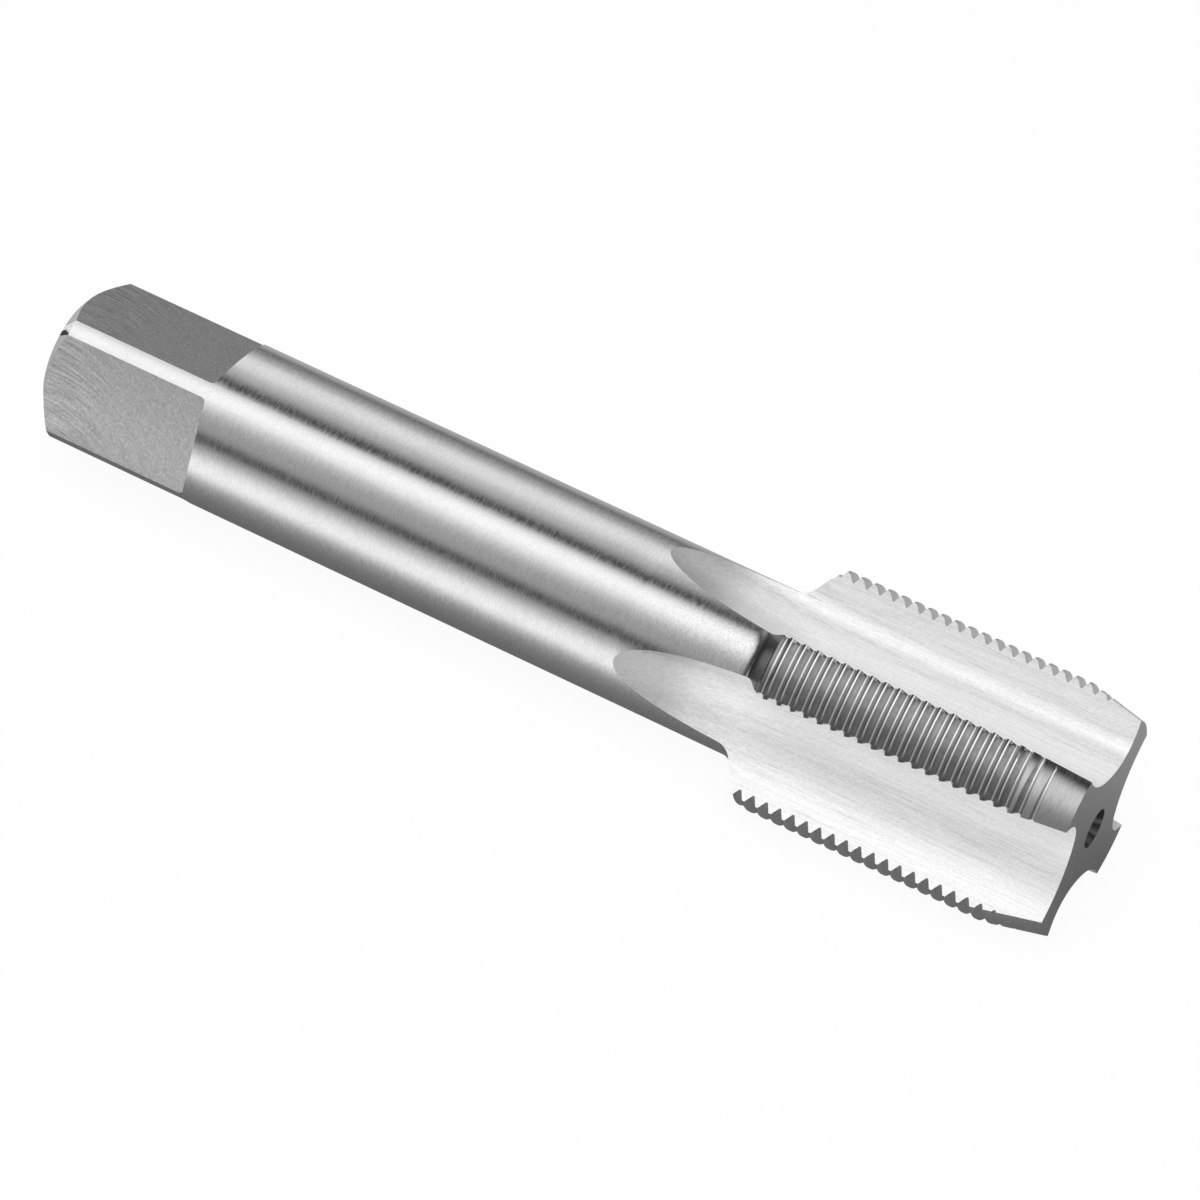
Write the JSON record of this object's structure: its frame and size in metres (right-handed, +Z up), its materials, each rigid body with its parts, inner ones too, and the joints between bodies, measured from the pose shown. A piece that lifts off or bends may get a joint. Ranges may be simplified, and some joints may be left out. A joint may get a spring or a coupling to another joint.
{
  "type": "thread tap",
  "caption": "Straight-flute hand tap for a fine metric thread, with a tapered lead, a plain round shank and a driving square.",
  "frame": {"origin": "on the tool's axis, halfway along the plain round shank", "axes": "+X along the axis towards the cutting end; +Z up, with the tool lying on two of its four lands; +Y to the side, with a flute facing it"},
  "size_m": [0.1183, 0.0226, 0.0226],
  "materials": {
    "tool_steel": "ground and milled, bare"
  },
  "bodies": {
    "root": {"tap": "tool_steel"}
  },
  "joints": []
}
